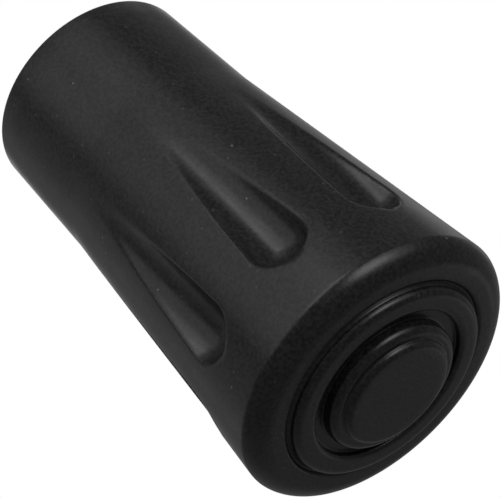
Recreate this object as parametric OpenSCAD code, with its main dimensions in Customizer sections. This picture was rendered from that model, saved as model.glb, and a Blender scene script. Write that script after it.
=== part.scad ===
// Push-on rubber tip for the end of a walking pole.
// One moulded piece that stands on its foot, with the pole socket open at the top.
// Units are millimetres. The origin is the centre of the foot, and Z is the axis.

/* [Body] */
// Length from the foot to the mouth of the socket
total_length = 50; // [46:0.5:64]
// Diameter where the flare meets the base plane, before the rim is rounded
base_d = 29.4; // [28:0.1:33]
// Diameter where the neck turns into the flare
neck_d = 23; // [20:0.1:23.5]
// Diameter at the mouth
mouth_d = 22; // [18:0.1:22.8]
// Length of the neck, from the mouth down to the flare
neck_length = 13.5; // [8:0.5:18]
// Rounding of the rim between the base plane and the crease below the flare
rim_round = 2.35; // [2:0.05:3]
// Height of that crease above the base plane
rim_height = 1.8; // [1:0.1:1.9]
// Rounding of the outer edge of the mouth
mouth_round = 0.4; // [0.2:0.1:1]

/* [Socket] */
// Diameter of the straight socket that grips the pole
bore_d = 11; // [9:0.1:13]
// Length of the straight socket wall, between its lead-in and its seat
bore_wall = 34; // [24:0.5:36]
// Width and depth of the lead-in at the mouth
lead_in = 0.8; // [0.3:0.1:1.5]
// Diameter of the flat at the bottom of the socket
seat_d = 6; // [4:0.1:8]
// Depth of the taper from the socket wall down to that flat
seat_depth = 2; // [1:0.1:3]

/* [Flutes] */
// Number of flutes around the flare
flute_count = 8; // [4:1:9]
// Radius of a flute's hollow and of its ball-shaped lower end
flute_radius = 3.25; // [2.8:0.05:4]
// Depth of a flute where its ball-shaped end begins
flute_depth = 2.1; // [1.2:0.05:2.4]
// Height above the base plane at which the ball-shaped end begins
flute_end = 10.4; // [8:0.1:14]
// Height above the base plane at which the flute's floor runs out of the flare
flute_run_out = 29.5; // [24:0.5:32]

/* [Base rings] */
// How far the foot stands out from the base plane
foot_drop = 2.2; // [2:0.05:3]
// Diameter of the foot disc
foot_d = 11.55; // [9:0.05:11.6]
// Rounding of the foot's edge
foot_round = 0.65; // [0.2:0.05:0.65]
// How far the boss around the foot stands out from the base plane
boss_drop = 1.55; // [1.3:0.05:1.7]
// Diameter of the boss
boss_d = 13.95; // [13:0.05:14.6]
// Rounding of the boss's edge
boss_round = 0.75; // [0.3:0.05:0.9]
// Outer diameter of the ring around the channel
ring_d = 20.9; // [20.2:0.05:22]
// How far the ring stands out from the base plane
ring_drop = 0.8; // [0.7:0.05:1.2]
// Rounding of the ring's outer edge
ring_outer_round = 0.7; // [0.3:0.05:0.7]
// Inner diameter of the ring
ring_inner_d = 16.2; // [15.6:0.05:17]
// Rounding of the ring's inner edge
ring_inner_round = 0.5; // [0.2:0.05:0.55]
// How far the channel floor between ring and boss stands out from the base plane
channel_drop = 0.1; // [0.05:0.05:0.3]
// Radius of the half-round groove at the ring's outer foot
groove_radius = 0.3; // [0.2:0.05:0.4]

/* [Hidden] */
rubber = "#2a2a2b";
$fn = 96;
base_z = foot_drop;
neck_z = total_length - neck_length;
flare_angle = atan2((base_d - neck_d) / 2, neck_z - base_z);
neck_angle = atan2((neck_d - mouth_d) / 2, neck_length);
bore_top = total_length - lead_in;
seat_z = bore_top - bore_wall - seat_depth;
flute_z = base_z + flute_end;
flute_floor_r = base_d / 2 - flute_end * tan(flare_angle) - flute_depth;
flute_rise = base_d / 2 - flute_run_out * tan(flare_angle) - flute_floor_r;
flute_lean = atan2(flute_rise, flute_run_out - flute_end);
// Overlap that lets one cut run clear through the surface of another form
clear = 1;

// Half section of the flare and neck, on a rounded rim that ends in a crease
module body_section() {
    lean = tan(flare_angle);
    crease_r = base_d / 2 - rim_height * lean;
    rim_r = crease_r - sqrt(pow(rim_round, 2) - pow(rim_round - rim_height, 2));
    mouth_cut = mouth_round / tan((90 + neck_angle) / 2);
    polygon([
        [0, base_z],
        [rim_r, base_z],
        [crease_r, base_z + rim_height],
        [neck_d / 2, neck_z],
        [mouth_d / 2 + mouth_cut * sin(neck_angle), total_length - mouth_cut * cos(neck_angle)],
        [mouth_d / 2 - mouth_cut, total_length],
        [0, total_length],
    ]);
    intersection() {
        translate([rim_r, base_z + rim_round])
            circle(r = rim_round);
        translate([rim_r, base_z])
            square([rim_round, rim_height]);
    }
    translate([mouth_d / 2 - mouth_cut, total_length - mouth_round])
        circle(r = mouth_round);
}

// Half section of a disc that stands out from the base plane, with its lower edge rounded
module step_section(diameter, drop, rounding) {
    radius = diameter / 2;
    low = base_z - drop;
    translate([0, low + rounding])
        square([radius, drop - rounding + clear]);
    translate([0, low])
        square([radius - rounding, drop + clear]);
    translate([radius - rounding, low + rounding])
        circle(r = rounding);
}

// Half section of the ring: a flat crest between a tight inner edge and a broader outer edge
module ring_section() {
    low = base_z - ring_drop;
    inner = ring_inner_d / 2;
    outer = ring_d / 2;
    crest_start = inner + ring_inner_round;
    crest_end = outer - ring_outer_round;
    translate([crest_start, low])
        square([crest_end - crest_start, ring_drop + clear]);
    translate([inner, low + ring_inner_round])
        square([crest_end - inner, ring_drop - ring_inner_round + clear]);
    translate([crest_start, low + ring_outer_round])
        square([outer - crest_start, ring_drop - ring_outer_round + clear]);
    translate([crest_start, low + ring_inner_round])
        circle(r = ring_inner_round);
    translate([crest_end, low + ring_outer_round])
        circle(r = ring_outer_round);
}

// Section of the groove at the ring's outer foot
module groove_section() {
    translate([ring_d / 2 + groove_radius, base_z])
        circle(r = groove_radius);
}

// Half section of the whole base: foot, boss, channel floor and ring
module base_section() {
    step_section(foot_d, foot_drop, foot_round);
    step_section(boss_d, boss_drop, boss_round);
    translate([0, base_z - channel_drop])
        square([ring_inner_d / 2 + ring_inner_round, channel_drop + clear]);
    ring_section();
}

// Blind socket for the pole: lead-in, straight wall, and a taper down to a flat seat
module socket() {
    translate([0, 0, bore_top])
        cylinder(d1 = bore_d, d2 = bore_d + 2 * (lead_in + clear), h = lead_in + clear);
    translate([0, 0, seat_z + seat_depth])
        cylinder(d = bore_d, h = bore_wall + clear);
    translate([0, 0, seat_z])
        cylinder(d1 = seat_d, d2 = bore_d, h = seat_depth);
}

// Half section of a flute's cutter: a straight side above a ball-shaped end
module flute_section() {
    square([flute_radius, total_length - flute_z]);
    intersection() {
        circle(r = flute_radius);
        translate([0, -flute_radius])
            square([flute_radius, flute_radius]);
    }
}

// One flute's cutter, a round bar that leans outwards so that its floor runs out of the flare.
// It is turned in four quarters, two of which meet along the flute's floor.
module flute_cutter() {
    translate([flute_floor_r, 0, flute_z])
        rotate([0, flute_lean, 0])
            translate([flute_radius, 0, 0])
                for (quarter = [0 : 3])
                    rotate([0, 0, quarter * 90])
                        rotate_extrude(angle = 90)
                            flute_section();
}

// The whole tip: a turned body, less the socket and the ring of flutes
module rubber_tip() {
    color(rubber)
        difference() {
            rotate_extrude() {
                difference() {
                    body_section();
                    groove_section();
                }
                base_section();
            }
            socket();
            for (i = [0 : flute_count - 1])
                rotate([0, 0, i * 360 / flute_count])
                    flute_cutter();
        }
}

rubber_tip();
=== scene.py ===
import math

import bpy
from mathutils import Matrix, Vector

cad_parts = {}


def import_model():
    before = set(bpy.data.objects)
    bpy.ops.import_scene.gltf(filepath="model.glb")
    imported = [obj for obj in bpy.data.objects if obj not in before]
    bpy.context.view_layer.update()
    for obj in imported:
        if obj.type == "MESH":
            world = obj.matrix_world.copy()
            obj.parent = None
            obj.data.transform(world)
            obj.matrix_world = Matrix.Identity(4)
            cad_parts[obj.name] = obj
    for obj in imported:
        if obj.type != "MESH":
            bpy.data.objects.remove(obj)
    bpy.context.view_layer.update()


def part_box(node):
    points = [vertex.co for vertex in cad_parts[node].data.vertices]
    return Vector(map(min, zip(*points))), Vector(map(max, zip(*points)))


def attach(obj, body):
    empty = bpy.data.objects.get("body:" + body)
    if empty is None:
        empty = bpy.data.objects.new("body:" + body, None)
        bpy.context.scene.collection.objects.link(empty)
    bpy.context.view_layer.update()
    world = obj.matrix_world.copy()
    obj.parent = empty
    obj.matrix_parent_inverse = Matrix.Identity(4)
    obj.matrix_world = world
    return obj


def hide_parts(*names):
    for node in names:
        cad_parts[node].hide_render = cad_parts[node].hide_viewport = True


# Looks of a push-on rubber tip for a walking pole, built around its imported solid.
# The body is one mesh: a turned profile with a ring of flutes pressed into its flare.
# Sizes are in millimetres and angles in degrees until they reach Blender, which takes metres and radians.

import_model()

MM = 0.001
WHITE = (1, 1, 1, 1)
NODE = "rubber_tip"

# Body
TOTAL_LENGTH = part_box(NODE)[1].z / MM
BASE_RADIUS = 14.7
NECK_RADIUS = 11.5
MOUTH_RADIUS = 11
NECK_LENGTH = 13.5
NECK_Z = TOTAL_LENGTH - NECK_LENGTH
RIM_ROUND = 2.35
RIM_HEIGHT = 1.8
CREASE_SOFT = 0.15
MOUTH_ROUND = 0.4

# Socket
BORE_RADIUS = 5.5
BORE_WALL = 34
LEAD_IN = 0.8
SEAT_RADIUS = 3
SEAT_DEPTH = 2

# Flutes: the bow is a share of the depth, and the rounding of the edges fades out just below the neck
FLUTE_COUNT = 8
FLUTE_RADIUS = 3.25
FLUTE_DEPTH = 2.1
FLUTE_Z = 12.6
FLUTE_RUN_OUT_Z = 31.5
FLUTE_BOW = 0.4
FLUTE_EDGE_ROUND = 0.2
EDGE_FADE = 5

# Base rings, with heights above the foot
BASE_Z = 2.2
FOOT_RADIUS = 5.775
FOOT_ROUND = 0.65
BOSS_RADIUS = 6.975
BOSS_Z = 0.65
BOSS_ROUND = 0.75
CHANNEL_Z = 2.1
RING_RADIUS = 10.45
RING_INNER_RADIUS = 8.1
RING_Z = 1.4
RING_OUTER_ROUND = 0.7
RING_INNER_ROUND = 0.5
CREVICE_ROUND = 0.05

# Groove at the ring's outer foot: its deepest line lies a little nearer the ring than the land
GROOVE_WIDTH = 0.6
GROOVE_DEPTH = 0.3
GROOVE_MIDDLE = 0.24
GROOVE_EDGE_SOFT = 0.12

# Mesh: columns over a flute and over the land beside it, how far a flute's columns reach past its sides,
# distances between rows, and how often a ray is halved to find a flute's surface
COLUMN_FLUTE = 42
COLUMN_LAND = 12
COLUMN_REACH = 1.1
ROW_FINE = 0.16
ROW_FINEST = ROW_FINE / 3
ROW_COARSE = 0.45
ROW_STRAIGHT = 3
HALVINGS = 16

# Rubber: its film changes the tone, its mottle the roughness, and its grain is a bump
RUBBER_DARK = (0.003, 0.003, 0.0031, 1)
RUBBER_LIGHT = (0.0128, 0.0128, 0.0131, 1)
RUBBER_SPECULAR = 0.25
ROUGHNESS_RANGE = (0.26, 0.31)
NOISE_ENDS = (0.3, 0.7)
FILM = {"size": 0.35, "detail": 3}
MOTTLE = {"size": 2.5, "detail": 4}
GRAIN = {"size": 0.16, "detail": 2}
GRAIN_HEIGHT = 0.004

# Dust and hairlines: a share of the cells holds a speck, most of these at full strength, and a hairline shows
# where its noise is high
DUST = {"spacing": 1.1, "radius": 0.14, "share": 0.035}
DUST_COLOUR = (0.09, 0.09, 0.088, 1)
FAINT_DUST = {"spacing": 0.9, "radius": 0.2, "share": 0.1}
FAINT_DUST_COLOUR = (0.026, 0.026, 0.0255, 1)
FULL_SPECKS = 0.9
HAIRLINE_SPACING = 7
HAIRLINE_WIDTH = 0.04
HAIRLINE_NOISE = {"size": 3.5, "detail": 1}
HAIRLINE_ENDS = (0.65, 0.75)
HAIRLINE_COLOUR = (0.016, 0.016, 0.016, 1)

# Camera, aimed at a point close beside the axis
CAMERA_AZIMUTH = -8.7
CAMERA_ELEVATION = -35.1
CAMERA_ROLL = 45.385
CAMERA_DISTANCE = 226.86
CAMERA_AIM_Z = 22.755
CAMERA_AIM_SIDE = -0.0765
CAMERA_LENS = 172.46
CAMERA_SENSOR = 36
CAMERA_NEAR = 10
CAMERA_FAR = 10000

# Surroundings: the room's level, the white backdrop that gloss shows, with the cosines at which it starts and
# is full, and the floor
ROOM_LEVEL = 0.23
BACKDROP_ELEVATION = 50
BACKDROP_ENDS = (0.92, 0.99)
FLOOR_HALF = 3000
FLOOR_COLOUR = (0.85, 0.85, 0.85, 1)
FLOOR_GLOW = (0.38, 0.38, 0.38, 1)
FLOOR_ROUGHNESS = 0.9

# Lamps, each a round patch of the tip's sky
LAMP_DISTANCE = 600
LAMPS = {
    "key_lamp": {"azimuth": 40, "elevation": -19, "half_angle": 14, "radiance": 4.6},
    "key_fill_lamp": {"azimuth": 46, "elevation": -17, "half_angle": 26, "radiance": 1.2},
    "front_lamp": {"azimuth": 6, "elevation": 20, "half_angle": 19, "radiance": 2.2},
    "streak_lamp": {"azimuth": 17, "elevation": 30, "half_angle": 8, "radiance": 2.2},
    "upper_lamp": {"azimuth": 21, "elevation": 44, "half_angle": 19, "radiance": 0.62},
    "left_lamp": {"azimuth": -27, "elevation": 23, "half_angle": 26, "radiance": 0.76},
    "high_left_lamp": {"azimuth": -32, "elevation": 43, "half_angle": 21, "radiance": 0.45},
    "rear_left_lamp": {"azimuth": -104, "elevation": 35, "half_angle": 26, "radiance": 0.17},
    "rear_right_lamp": {"azimuth": 132, "elevation": 24, "half_angle": 16, "radiance": 0.28},
    "high_right_lamp": {"azimuth": 114, "elevation": 59, "half_angle": 13, "radiance": 0.22},
    "low_rear_lamp": {"azimuth": 157, "elevation": -30, "half_angle": 8, "radiance": 0.4},
}


def span(start, end, step):
    """Points from start to end, without the end, no farther apart than step."""
    count = max(1, math.ceil(math.dist(start, end) / step))
    return [tuple(a + (b - a) * i / count for a, b in zip(start, end)) for i in range(count)]


def arc(centre, radius, start, end, step):
    """Points along an arc from one angle to another, both ends included."""
    count = max(2, math.ceil(abs(math.radians(end - start)) * radius / step))
    turns = [math.radians(start + (end - start) * i / count) for i in range(count + 1)]
    return [(centre[0] + radius * math.cos(t), centre[1] + radius * math.sin(t)) for t in turns]


def edge(radius, low, rounding, step):
    """The rounded lower edge of a disc, from its face round to its wall."""
    return arc((radius - rounding, low + rounding), rounding, -90, 0, step)


def crevice(radius, top, step):
    """The rounded inner corner where a wall of the given radius meets the flat above it."""
    return arc((radius + CREVICE_ROUND, top - CREVICE_ROUND), CREVICE_ROUND, 180, 90, step)


def softened(before, corner, after, step):
    """A corner between two points, turned into a short curve that leaves and arrives along its two sides."""
    count = max(3, math.ceil((math.dist(before, corner) + math.dist(corner, after)) / step))
    rows = []
    for i in range(count + 1):
        t = i / count
        shares = ((1 - t) ** 2, 2 * t * (1 - t), t ** 2)
        rows.append(tuple(sum(k * v for k, v in zip(shares, axis)) for axis in zip(before, corner, after)))
    return rows


def flare_radius(z):
    """Radius of the flare at a height, before the flutes are cut."""
    return BASE_RADIUS - (BASE_RADIUS - NECK_RADIUS) * (z - BASE_Z) / (NECK_Z - BASE_Z)


def on_flare(z):
    """Point of the flare's half section at a height."""
    return flare_radius(z), z


def rim_rows():
    """Half section of the rim, from the land up to just past the crease where the flare starts."""
    crease = on_flare(BASE_Z + RIM_HEIGHT)
    end = math.asin((RIM_HEIGHT - RIM_ROUND) / RIM_ROUND)
    centre = (crease[0] - RIM_ROUND * math.cos(end), BASE_Z + RIM_ROUND)
    rows = arc(centre, RIM_ROUND, -90, math.degrees(end - CREASE_SOFT / RIM_ROUND), ROW_FINE)
    after = on_flare(BASE_Z + RIM_HEIGHT + CREASE_SOFT)
    return rows[:-1] + softened(rows[-1], crease, after, ROW_FINEST)


def groove_rows():
    """Half section of the groove: two straight sides, and a softened edge where it meets the land."""
    bottom = (RING_RADIUS + GROOVE_MIDDLE, BASE_Z + GROOVE_DEPTH)
    corner = (RING_RADIUS + GROOVE_WIDTH, BASE_Z)
    share = GROOVE_EDGE_SOFT / math.dist(bottom, corner)
    before = tuple(c + (b - c) * share for b, c in zip(bottom, corner))
    after = (corner[0] + GROOVE_EDGE_SOFT, BASE_Z)
    rows = span((RING_RADIUS, BASE_Z), bottom, GROOVE_DEPTH / 3) + span(bottom, before, GROOVE_DEPTH / 3)
    return rows + softened(before, corner, after, GROOVE_EDGE_SOFT / 2)


def base_rows():
    """Half section of the base, from near the centre of the foot out to the end of the rim."""
    foot = edge(FOOT_RADIUS, 0, FOOT_ROUND, ROW_FINE)
    boss = edge(BOSS_RADIUS, BOSS_Z, BOSS_ROUND, ROW_FINE) + crevice(BOSS_RADIUS, CHANNEL_Z, CREVICE_ROUND)
    inner_centre = (RING_INNER_RADIUS + RING_INNER_ROUND, RING_Z + RING_INNER_ROUND)
    inner = [(RING_INNER_RADIUS, CHANNEL_Z)] + arc(inner_centre, RING_INNER_ROUND, 180, 270, ROW_FINE)
    outer = edge(RING_RADIUS, RING_Z, RING_OUTER_ROUND, ROW_FINE) + groove_rows()
    rim = rim_rows()
    rows = span((ROW_COARSE, 0), foot[0], ROW_COARSE * 2) + foot
    rows += span(foot[-1], boss[0], ROW_FINE)[1:] + boss
    rows += span(boss[-1], inner[0], ROW_FINE)[1:] + inner
    rows += span(inner[-1], outer[0], ROW_FINE * 2)[1:] + outer
    rows += span(outer[-1], rim[0], ROW_COARSE)[1:] + rim
    return rows


def side_rows(start):
    """Half section of the flare and neck, with close rows over the round ends of the flutes."""
    lean = math.degrees(math.atan2(NECK_RADIUS - MOUTH_RADIUS, NECK_LENGTH))
    mouth_cut = MOUTH_ROUND / math.tan(math.radians(90 + lean) / 2)
    mouth_centre = (MOUTH_RADIUS - mouth_cut, TOTAL_LENGTH - MOUTH_ROUND)
    mouth = arc(mouth_centre, MOUTH_ROUND, lean, 90, ROW_FINE)
    low = on_flare(FLUTE_Z - FLUTE_RADIUS)
    high = on_flare(FLUTE_Z + FLUTE_RADIUS / 2)
    neck = (NECK_RADIUS, NECK_Z)
    rows = span(start, low, ROW_COARSE)[1:] + span(low, high, ROW_FINE)
    rows += span(high, neck, ROW_COARSE) + span(neck, mouth[0], ROW_STRAIGHT)
    return rows + mouth


def socket_rows(start):
    """Half section of the mouth's face and the socket, down to near the centre of its seat."""
    bore_top = TOTAL_LENGTH - LEAD_IN
    bore_end = bore_top - BORE_WALL
    corners = [
        start,
        (BORE_RADIUS + LEAD_IN, TOTAL_LENGTH),
        (BORE_RADIUS, bore_top),
        (BORE_RADIUS, bore_end),
        (SEAT_RADIUS, bore_end - SEAT_DEPTH),
        (ROW_COARSE, bore_end - SEAT_DEPTH),
    ]
    rows = []
    for above, below in zip(corners, corners[1:]):
        rows += span(above, below, ROW_STRAIGHT)
    return rows[1:] + [corners[-1]]


def flute_floor(z):
    """Radius of a flute's floor at a height. The floor bows away from a straight line as it runs out."""
    share = (FLUTE_RUN_OUT_Z - z) / (FLUTE_RUN_OUT_Z - FLUTE_Z)
    return flare_radius(z) - FLUTE_DEPTH * share * (1 - FLUTE_BOW + FLUTE_BOW * abs(share))


def flute_ball():
    """Radius and height of the centre of a flute's ball end, which is set square to the floor."""
    lean = math.atan2(flute_floor(FLUTE_Z + ROW_FINE) - flute_floor(FLUTE_Z), ROW_FINE)
    return flute_floor(FLUTE_Z) + FLUTE_RADIUS * math.cos(lean), FLUTE_Z - FLUTE_RADIUS * math.sin(lean)


def flute_cutter(z):
    """Radius of the middle of a flute's cutter at a height, and the height above its ball end's centre."""
    if z > FLUTE_Z:
        return flute_floor(z) + FLUTE_RADIUS, 0
    middle, ball_z = flute_ball()
    return middle, z - ball_z


def rounded_max(first, second, rounding):
    """The larger of two distances, with the corner between them rounded."""
    share = max(0, 1 - abs(first - second) / rounding)
    return max(first, second) + share ** 2 * rounding / 4


def fluted(radius, z, turn):
    """Radius of the side with the nearest flute cut into it, found by halving a stretch of the ray."""
    rounding = FLUTE_EDGE_ROUND * min(1, (NECK_Z - z) / EDGE_FADE)
    if rounding <= 0:
        return radius
    pitch = 2 * math.pi / FLUTE_COUNT
    off = (turn + pitch / 2) % pitch - pitch / 2
    middle, rise = flute_cutter(z)
    low, high = radius - FLUTE_DEPTH - FLUTE_EDGE_ROUND, radius
    for _ in range(HALVINGS):
        r = (low + high) / 2
        inside = FLUTE_RADIUS - math.dist((r * math.cos(off), r * math.sin(off), rise), (middle, 0, 0))
        if rounded_max(r - radius, inside, rounding) > 0:
            high = r
        else:
            low = r
    return high


def column_angles():
    """Angles around the axis in radians, closer together across each flute than between flutes."""
    pitch = 2 * math.pi / FLUTE_COUNT
    half_flute = math.asin(FLUTE_RADIUS / flute_ball()[0]) * COLUMN_REACH
    land = pitch - 2 * half_flute
    turns = []
    for flute in range(FLUTE_COUNT):
        middle = flute * pitch
        turns += [middle + half_flute * (2 * i / COLUMN_FLUTE - 1) for i in range(COLUMN_FLUTE)]
        turns += [middle + half_flute + land * i / COLUMN_LAND for i in range(COLUMN_LAND)]
    return turns


def rings(rows, turns, has_flutes):
    """Points around the axis for each row of a half section."""
    points = []
    for radius, z in rows:
        for turn in turns:
            r = fluted(radius, z, turn) if has_flutes else radius
            points.append((r * math.cos(turn) * MM, r * math.sin(turn) * MM, z * MM))
    return points


def rubber_mesh():
    """The whole tip as one closed mesh: rings of points along its profile, capped at both ends."""
    base = base_rows()
    side = side_rows(base[-1])
    socket = socket_rows(side[-1])
    turns = column_angles()
    points = rings(base, turns, False) + rings(side, turns, True) + rings(socket, turns, False)
    foot_centre, seat_centre = len(points), len(points) + 1
    points += [(0, 0, base[0][1] * MM), (0, 0, socket[-1][1] * MM)]
    columns = len(turns)
    last = foot_centre - columns
    faces = []
    for i in range(columns):
        j = (i + 1) % columns
        faces.append((foot_centre, j, i))
        for low in range(0, last, columns):
            high = low + columns
            faces.append((low + i, low + j, high + j, high + i))
        faces.append((seat_centre, last + i, last + j))
    mesh = bpy.data.meshes.new("rubber_body")
    mesh.from_pydata(points, [], faces)
    mesh.polygons.foreach_set("use_smooth", [True] * len(mesh.polygons))
    mesh.update()
    return mesh


def add_node(tree, kind, **values):
    """A new shader node, with the named properties and unlinked inputs set."""
    node = tree.nodes.new(kind)
    for name, value in values.items():
        if name in node.inputs:
            node.inputs[name].default_value = value
        else:
            setattr(node, name, value)
    return node


def noise(tree, place, size, detail):
    """Noise with blotches of about the given size."""
    node = add_node(tree, "ShaderNodeTexNoise", Scale=1 / (size * MM), Detail=detail)
    tree.links.new(place, node.inputs["Vector"])
    return node.outputs["Fac"]


def ranged(tree, value, start, end, low=0, high=1, path="SMOOTHSTEP"):
    """A value that goes from low to high while another goes from start to end."""
    ends = {"From Min": start, "From Max": end, "To Min": low, "To Max": high}
    node = add_node(tree, "ShaderNodeMapRange", interpolation_type=path, **ends)
    tree.links.new(value, node.inputs["Value"])
    return node.outputs["Result"]


def combined(tree, operation, first, second):
    """Two values put through a Math operation."""
    node = add_node(tree, "ShaderNodeMath", operation=operation)
    tree.links.new(first, node.inputs[0])
    tree.links.new(second, node.inputs[1])
    return node.outputs["Value"]


def mixed(tree, share, first, second):
    """One colour turned into another by a share. The first may be a colour or another node's output."""
    node = add_node(tree, "ShaderNodeMixRGB", Color2=second)
    if isinstance(first, tuple):
        node.inputs["Color1"].default_value = first
    else:
        tree.links.new(first, node.inputs["Color1"])
    tree.links.new(share, node.inputs["Fac"])
    return node.outputs["Color"]


def specks(tree, place, spacing, radius, share):
    """Mask of round specks, which lie in the given share of cells of about the given spacing."""
    cells = add_node(tree, "ShaderNodeTexVoronoi", Scale=1 / (spacing * MM))
    tree.links.new(place, cells.inputs["Vector"])
    draw = add_node(tree, "ShaderNodeSeparateColor")
    tree.links.new(cells.outputs["Color"], draw.inputs["Color"])
    near = ranged(tree, cells.outputs["Distance"], radius / spacing, radius / spacing / 2)
    chosen = ranged(tree, draw.outputs["Red"], 1 - share, 1 - share * FULL_SPECKS)
    return combined(tree, "MULTIPLY", near, chosen)


def hairlines(tree, place):
    """Mask of thin scratches, which follow stretches of the borders between large cells."""
    scale = 1 / (HAIRLINE_SPACING * MM)
    cells = add_node(tree, "ShaderNodeTexVoronoi", feature="DISTANCE_TO_EDGE", Scale=scale)
    tree.links.new(place, cells.inputs["Vector"])
    width = HAIRLINE_WIDTH / HAIRLINE_SPACING
    line = ranged(tree, cells.outputs["Distance"], width, width / 2)
    stretch = ranged(tree, noise(tree, place, **HAIRLINE_NOISE), *HAIRLINE_ENDS)
    return combined(tree, "MULTIPLY", line, stretch)


def new_material(name):
    """A material with nodes, and its Principled shader."""
    material = bpy.data.materials.new(name)
    material.use_nodes = True
    return material, material.node_tree.nodes["Principled BSDF"]


def rubber_material():
    """Black moulded rubber: a dull sheen, a patchy film, a fine grain, specks of dust and a few hairlines."""
    material, shader = new_material("black_rubber")
    shader.inputs["Specular IOR Level"].default_value = RUBBER_SPECULAR
    tree = material.node_tree
    place = add_node(tree, "ShaderNodeTexCoord").outputs["Object"]
    film = ranged(tree, noise(tree, place, **FILM), *NOISE_ENDS)
    roughness = ranged(tree, noise(tree, place, **MOTTLE), *NOISE_ENDS, *ROUGHNESS_RANGE)
    colour = mixed(tree, film, RUBBER_DARK, RUBBER_LIGHT)
    colour = mixed(tree, hairlines(tree, place), colour, HAIRLINE_COLOUR)
    colour = mixed(tree, specks(tree, place, **FAINT_DUST), colour, FAINT_DUST_COLOUR)
    colour = mixed(tree, specks(tree, place, **DUST), colour, DUST_COLOUR)
    bump = add_node(tree, "ShaderNodeBump", Distance=GRAIN_HEIGHT * MM)
    tree.links.new(noise(tree, place, **GRAIN), bump.inputs["Height"])
    tree.links.new(colour, shader.inputs["Base Color"])
    tree.links.new(roughness, shader.inputs["Roughness"])
    tree.links.new(bump.outputs["Normal"], shader.inputs["Normal"])
    return material


def add_object(name, data):
    """A new object in the scene that shows the given data."""
    thing = bpy.data.objects.new(name, data)
    bpy.context.scene.collection.objects.link(thing)
    return thing


def rubber_tip():
    """The dressed tip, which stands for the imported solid."""
    tip = add_object("rubber_body", rubber_mesh())
    tip.data.materials.append(rubber_material())
    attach(tip, "root")
    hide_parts(NODE)


def towards(azimuth, elevation):
    """Unit vector from the tip in the given direction."""
    across, lift = math.radians(azimuth), math.radians(elevation)
    return Vector((math.cos(across) * math.cos(lift), math.sin(across) * math.cos(lift), math.sin(lift)))


def camera():
    """The photograph's view, from below and to one side, turned about its own line of sight."""
    data = bpy.data.cameras.new("camera")
    data.lens = CAMERA_LENS
    data.sensor_width = CAMERA_SENSOR
    data.clip_start = CAMERA_NEAR * MM
    data.clip_end = CAMERA_FAR * MM
    view = add_object("camera", data)
    back = towards(CAMERA_AZIMUTH, CAMERA_ELEVATION)
    aim = towards(CAMERA_AZIMUTH + 90, 0) * CAMERA_AIM_SIDE * MM + Vector((0, 0, CAMERA_AIM_Z * MM))
    turn = (-back).to_track_quat("-Z", "Y").to_matrix().to_4x4()
    roll = Matrix.Rotation(math.radians(-CAMERA_ROLL), 4, "Z")
    view.matrix_world = Matrix.Translation(aim + back * CAMERA_DISTANCE * MM) @ turn @ roll
    bpy.context.scene.camera = view


def lamp(name, azimuth, elevation, half_angle, radiance):
    """A round soft lamp that looks at the middle of the tip and fills the given half angle of its sky."""
    radius = LAMP_DISTANCE * MM * math.tan(math.radians(half_angle))
    area = math.pi * radius ** 2
    data = bpy.data.lights.new(name, "AREA")
    data.shape = "DISK"
    data.size = 2 * radius
    data.energy = radiance * math.pi * area
    light = add_object(name, data)
    away = towards(azimuth, elevation)
    light.location = Vector((0, 0, CAMERA_AIM_Z * MM)) + away * LAMP_DISTANCE * MM
    light.rotation_mode = "QUATERNION"
    light.rotation_quaternion = away.to_track_quat("Z", "Y")


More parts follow.
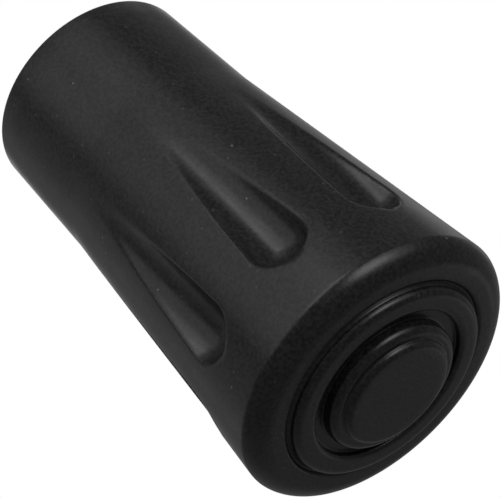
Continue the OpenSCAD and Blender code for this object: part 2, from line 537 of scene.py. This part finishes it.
def world():
    """A dim room around the tip. The camera sees it as white, and gloss shows a white backdrop in it."""
    studio = bpy.data.worlds.new("studio")
    studio.use_nodes = True
    bpy.context.scene.world = studio
    tree = studio.node_tree
    ray = add_node(tree, "ShaderNodeLightPath")
    place = add_node(tree, "ShaderNodeTexCoord")
    facing = add_node(tree, "ShaderNodeVectorMath", operation="DOT_PRODUCT")
    facing.inputs[1].default_value = towards(CAMERA_AZIMUTH + 180, BACKDROP_ELEVATION)
    tree.links.new(place.outputs["Generated"], facing.inputs[0])
    backdrop = ranged(tree, facing.outputs["Value"], *BACKDROP_ENDS)
    in_gloss = combined(tree, "MULTIPLY", backdrop, ray.outputs["Is Glossy Ray"])
    direct = combined(tree, "MAXIMUM", ray.outputs["Is Camera Ray"], ray.outputs["Is Transmission Ray"])
    white = combined(tree, "MAXIMUM", in_gloss, direct)
    background = tree.nodes["Background"]
    background.inputs["Color"].default_value = WHITE
    tree.links.new(ranged(tree, white, 0, 1, ROOM_LEVEL, 1, "LINEAR"), background.inputs["Strength"])


def floor_material():
    """Pale and matt, lifted for the camera, and clear from below, where the photograph's camera stands."""
    material, shader = new_material("pale_floor")
    shader.inputs["Base Color"].default_value = FLOOR_COLOUR
    shader.inputs["Roughness"].default_value = FLOOR_ROUGHNESS
    shader.inputs["Emission Color"].default_value = FLOOR_GLOW
    tree = material.node_tree
    ray = add_node(tree, "ShaderNodeLightPath")
    side = add_node(tree, "ShaderNodeNewGeometry")
    clear = add_node(tree, "ShaderNodeBsdfTransparent")
    mix = add_node(tree, "ShaderNodeMixShader")
    tree.links.new(ray.outputs["Is Camera Ray"], shader.inputs["Emission Strength"])
    tree.links.new(side.outputs["Backfacing"], mix.inputs["Fac"])
    tree.links.new(shader.outputs["BSDF"], mix.inputs[1])
    tree.links.new(clear.outputs["BSDF"], mix.inputs[2])
    tree.links.new(mix.outputs["Shader"], tree.nodes["Material Output"].inputs["Surface"])
    return material


def floor():
    """A floor that keeps the tip's shadow. Lamps stand below it too, so it doesn't block or bounce light."""
    half = FLOOR_HALF * MM
    corners = [(-half, -half, 0), (half, -half, 0), (half, half, 0), (-half, half, 0)]
    mesh = bpy.data.meshes.new("floor")
    mesh.from_pydata(corners, [], [(0, 1, 2, 3)])
    mesh.materials.append(floor_material())
    ground = add_object("floor", mesh)
    ground.visible_shadow = False
    ground.visible_glossy = False
    ground.visible_diffuse = False


rubber_tip()
camera()
world()
floor()
for name, place in LAMPS.items():
    lamp(name, **place)
bpy.context.scene.view_settings.view_transform = "Standard"
